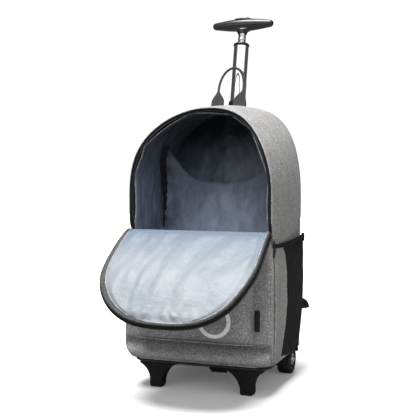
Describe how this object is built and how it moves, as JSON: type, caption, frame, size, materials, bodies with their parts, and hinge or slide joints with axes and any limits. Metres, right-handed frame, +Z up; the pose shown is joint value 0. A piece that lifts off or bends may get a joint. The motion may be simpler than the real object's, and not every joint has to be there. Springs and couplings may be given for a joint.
{
  "type": "rolling laptop backpack",
  "caption": "Wheeled laptop backpack with a telescopic T-grip pole, moulded base on wheels and feet, and a D-shaped front flap that folds down.",
  "frame": {"origin": "on the floor, under the middle of the object's bounding box", "axes": "+Z up, -Y towards the front flap, +X to the wearer's left as seen from the front's right"},
  "size_m": [0.3, 0.4753, 0.7586],
  "materials": {
    "fabric": "heather melange weave, matt",
    "lining": "dark slate-blue polyester, slight sheen",
    "flap_lining": "light steel-blue polyester with a tone-on-tone print",
    "black_webbing": "ribbed webbing and elastic",
    "mesh": "black net over dark fabric",
    "zip_tape": "woven tape with a nylon coil",
    "moulded_black": "fine texture",
    "gloss_black": "smooth",
    "board": "sheet",
    "chrome_tube": "polished",
    "steel": "plated",
    "silver_plastic": "satin silver",
    "tyre": "moulded tread",
    "rubber": "matt",
    "badge": "plain ring"
  },
  "bodies": {
    "bag": {"base_tray": "moulded_black", "front_stand": "moulded_black", "foot_pads": "rubber", "base_board": "board", "base_screws": "steel", "wheel_housing_left": "moulded_black", "wheel_housing_right": "moulded_black", "wheel_axles": "steel", "rear_guard": "moulded_black", "pole_socket": "moulded_black", "pole_fixed_tube": "chrome_tube", "pole_guide_collar": "moulded_black", "gusset_left": "fabric", "gusset_right": "fabric", "gusset_top": "fabric", "front_lower_panel": "fabric", "back_panel": "fabric", "rear_lining": "lining", "laptop_sleeve": "lining", "sleeve_bindings": "mesh", "bottom_piping": "fabric", "front_pocket": "fabric", "pocket_zipper": "zip_tape", "badge": "badge", "side_tag": "black_webbing", "main_zipper": "zip_tape", "main_zip_slider": "steel", "side_pocket_left": "mesh", "side_pocket_right": "mesh", "elastic_bands": "black_webbing", "shoulder_strap_left": "fabric", "shoulder_strap_right": "fabric", "strap_webbing": "black_webbing", "ladder_locks": "gloss_black", "strap_tabs": "fabric"},
    "stage1": {"stage1_tube": "chrome_tube", "stage1_collar": "moulded_black", "stage1_glide": "moulded_black"},
    "stage2": {"stage2_tube": "chrome_tube", "stage2_glide": "moulded_black", "grip_lower_shell": "gloss_black", "grip_upper_shell": "gloss_black", "button_bezel": "gloss_black", "grip_screws": "steel", "button_spring": "steel"},
    "button": {"handle_button": "silver_plastic", "lock_rod": "steel"},
    "wheel_left": {"tyre_left": "tyre", "wheel_hub_left": "moulded_black", "wheel_bearings_left": "steel"},
    "wheel_right": {"tyre_right": "tyre", "wheel_hub_right": "moulded_black", "wheel_bearings_right": "steel"},
    "flap_lower": {"flap_base": "flap_lining", "flap_zipper_base": "zip_tape"},
    "flap_end": {"flap_tip": "flap_lining", "flap_zipper_tip": "zip_tape"},
    "zip_pull": {"main_zip_puller": "steel"},
    "carry_loop": {"haul_loop": "black_webbing"}
  },
  "joints": [
    {"name": "pole_stage1_slide", "type": "slide", "parent": "bag", "child": "stage1", "axis": [0, 0.2079, 0.9781], "range_m": [-0.11, 0.17]},
    {"name": "pole_stage2_slide", "type": "slide", "parent": "stage1", "child": "stage2", "axis": [0, 0.2079, 0.9781], "range_m": [0, 0.19]},
    {"name": "handle_button_press", "type": "slide", "parent": "stage2", "child": "button", "axis": [0, -0.2079, -0.9781], "range_m": [0, 0.004], "stiffness_N_per_m": 600, "springref_m": -0.002, "deforming": ["button_spring"]},
    {"name": "flap_hinge", "type": "hinge", "parent": "bag", "child": "flap_lower", "pos_m": [0, -0.0525, 0.305], "axis": [-1, 0, 0], "range_deg": [0, 124]},
    {"name": "flap_bend", "type": "hinge", "parent": "flap_lower", "child": "flap_end", "pos_m": [0, -0.17591, 0.21966], "axis": [-1, 0, 0], "range_deg": [0, 40.18]},
    {"name": "wheel_left_spin", "type": "hinge", "parent": "bag", "child": "wheel_left", "pos_m": [-0.118, 0.1615, 0.03], "axis": [1, 0, 0], "continuous": true},
    {"name": "wheel_right_spin", "type": "hinge", "parent": "bag", "child": "wheel_right", "pos_m": [0.118, 0.1615, 0.03], "axis": [1, 0, 0], "continuous": true},
    {"name": "zip_pull_swing", "type": "hinge", "parent": "bag", "child": "zip_pull", "pos_m": [0.1465, -0.0345, 0.2915], "axis": [0, -1, 0], "range_deg": [0, 110]},
    {"name": "carry_loop_fold", "type": "hinge", "parent": "bag", "child": "carry_loop", "pos_m": [0, 0.1369, 0.5595], "axis": [1, 0, 0], "range_deg": [-5, 80], "stiffness_Nm_per_rad": 0.08}
  ],
  "couplings": [
    {"joint": "flap_bend", "follows": "flap_hinge", "ratio": 0.32}
  ]
}
